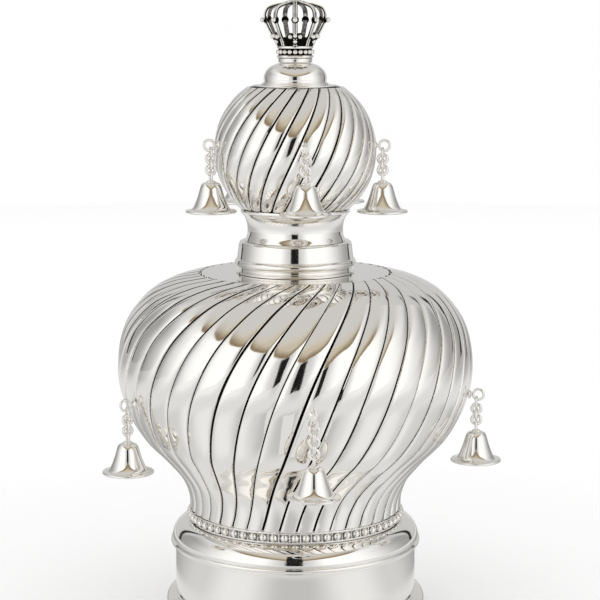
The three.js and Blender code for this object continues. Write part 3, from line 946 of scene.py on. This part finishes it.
def glowing_sheet(name, points, glow, closed=True):
    """A studio surface that shows only in the metal. Each point has its own light, and the
    last column joins the first if it's closed."""
    rows, columns = points.shape[:2]
    index = np.arange(rows * columns).reshape(rows, columns)
    after = np.roll(index, -1, 1)
    faces = np.stack([index[:-1, :], after[:-1, :], after[1:, :], index[1:, :]], axis=-1)
    if not closed:
        faces = faces[:, :-1]
    faces = faces.reshape(-1, 4)
    mesh = bpy.data.meshes.new(name)
    mesh.from_pydata(points.reshape(-1, 3).tolist(), [], faces.tolist())
    layer = mesh.attributes.new("glow", "FLOAT_COLOR", "POINT")
    rgba = np.ones((rows * columns, 4))
    rgba[:, :3] = glow.reshape(-1, 3)
    layer.data.foreach_set("color", rgba.ravel())
    material = bpy.data.materials.new(name)
    material.use_nodes = True
    tree = material.node_tree
    tree.nodes.clear()
    light = add_node(tree, "ShaderNodeAttribute", {"attribute_name": "glow"})
    shader = add_node(tree, "ShaderNodeEmission", {}, Color=light.outputs["Color"])
    add_node(tree, "ShaderNodeOutputMaterial", {}, Surface=shader.outputs["Emission"])
    mesh.materials.append(material)
    obj = bpy.data.objects.new(name, mesh)
    bpy.context.collection.objects.link(obj)
    obj.visible_camera = False
    obj.visible_shadow = False
    obj.visible_diffuse = False


def add_tent():
    """Walls, table and a small flag before the foot, which is black beneath and pale above."""
    bearing, rise = np.meshgrid(np.linspace(-180, 180, 288, endpoint=False),
                                np.linspace(-4.3, 90, 96))
    a, e = np.radians(bearing), np.radians(rise)
    middle = np.array([*AXIS, TENT_MIDDLE])
    points = middle + TENT_R * np.stack(
        [np.sin(a) * np.cos(e), -np.cos(a) * np.cos(e), np.sin(e)], axis=-1)
    glowing_sheet("light_tent", points, tent_glow(bearing, rise))
    bearing, reach = np.meshgrid(np.linspace(-180, 180, 144, endpoint=False),
                                 np.r_[0.0001, 0.08, np.geomspace(0.1, TENT_R, 40)])
    a = np.radians(bearing)
    points = np.stack([AXIS[0] + reach * np.sin(a), AXIS[1] - reach * np.cos(a),
                       np.full(a.shape, 0.3 * MM)], axis=-1)
    glowing_sheet("tent_table", points, table_glow(bearing, reach))
    reach, half = np.array(FLAG_REACH), np.array(FLAG_HALF)
    x = AXIS[0] - 0.001 + np.stack([-half, half], axis=1)
    for name, height, glow in FLAGS:
        points = np.stack([x, np.repeat(AXIS[1] - reach[:, None], 2, axis=1),
                           np.full(x.shape, height)], axis=-1)
        glowing_sheet(name, points, np.full(points.shape, glow), closed=False)


class CROWN_OT_stage(bpy.types.Operator):
    """Pale floor, soft white studio and camera"""
    bl_idname = "crown.stage"
    bl_label = "Stage"

    def execute(self, context):
        look = context.scene.crown_finish
        scene = context.scene
        bpy.ops.mesh.primitive_circle_add(vertices=96, radius=FLOOR_R, fill_type="NGON",
                                          location=(0, 0, 0))
        floor = context.object
        floor.name = "floor"
        floor.data.materials.append(plain_material("matt white paper", tuple(look.floor), 0.9))

        world = bpy.data.worlds.new("white studio")
        scene.world = world
        world.use_nodes = True
        tree = world.node_tree
        tree.nodes.clear()
        light = add_node(tree, "ShaderNodeBackground", {"Color": (1, 1, 1, 1), "Strength": 1.0})
        add_node(tree, "ShaderNodeOutputWorld", {}, Surface=light.outputs["Background"])

        add_tent()

        camera = bpy.data.objects.new("camera", bpy.data.cameras.new("camera"))
        context.collection.objects.link(camera)
        scene.camera = camera
        aim = Vector((AXIS[0] + AIM[0], AXIS[1], AIM[1]))
        away = Vector((0, -math.cos(CAMERA_PITCH), math.sin(CAMERA_PITCH)))
        camera.location = aim + away * CAMERA_AWAY
        camera.rotation_mode = "QUATERNION"
        camera.rotation_quaternion = (-away).to_track_quat("-Z", "Y")
        camera.data.sensor_width = 36
        camera.data.lens = LENS
        scene.view_settings.view_transform = "Standard"
        return {"FINISHED"}


STEPS = (CROWN_OT_stage, CROWN_OT_base, CROWN_OT_gallery, CROWN_OT_bowl, CROWN_OT_neck,
         CROWN_OT_ball, CROWN_OT_cap, CROWN_OT_circlet, CROWN_OT_arches, CROWN_OT_finial,
         CROWN_OT_eyes, CROWN_OT_chains, CROWN_OT_bells)


class CROWN_PT_panel(bpy.types.Panel):
    """The crown's pieces and settings"""
    bl_idname = "CROWN_PT_panel"
    bl_label = "Torah Crown"
    bl_space_type = "VIEW_3D"
    bl_region_type = "UI"
    bl_category = "Torah Crown"

    def draw(self, context):
        scene = context.scene
        for settings in (scene.crown_flutes, scene.crown_trim, scene.crown_finish):
            box = self.layout.box()
            for key in settings.__annotations__:
                box.prop(settings, key)
        for step in STEPS:
            self.layout.operator(step.bl_idname)


GROUPS = {"crown_flutes": CrownFlutes, "crown_trim": CrownTrim, "crown_finish": CrownFinish}


def register():
    for name, group in GROUPS.items():
        bpy.utils.register_class(group)
        setattr(bpy.types.Scene, name, PointerProperty(type=group))
    for step in STEPS:
        bpy.utils.register_class(step)
    bpy.utils.register_class(CROWN_PT_panel)


def unregister():
    bpy.utils.unregister_class(CROWN_PT_panel)
    for step in reversed(STEPS):
        bpy.utils.unregister_class(step)
    for name, group in GROUPS.items():
        delattr(bpy.types.Scene, name)
        bpy.utils.unregister_class(group)


def main():
    register()
    for step in STEPS:
        group, name = step.bl_idname.split(".")
        getattr(getattr(bpy.ops, group), name)()


if __name__ == "__main__":
    main()
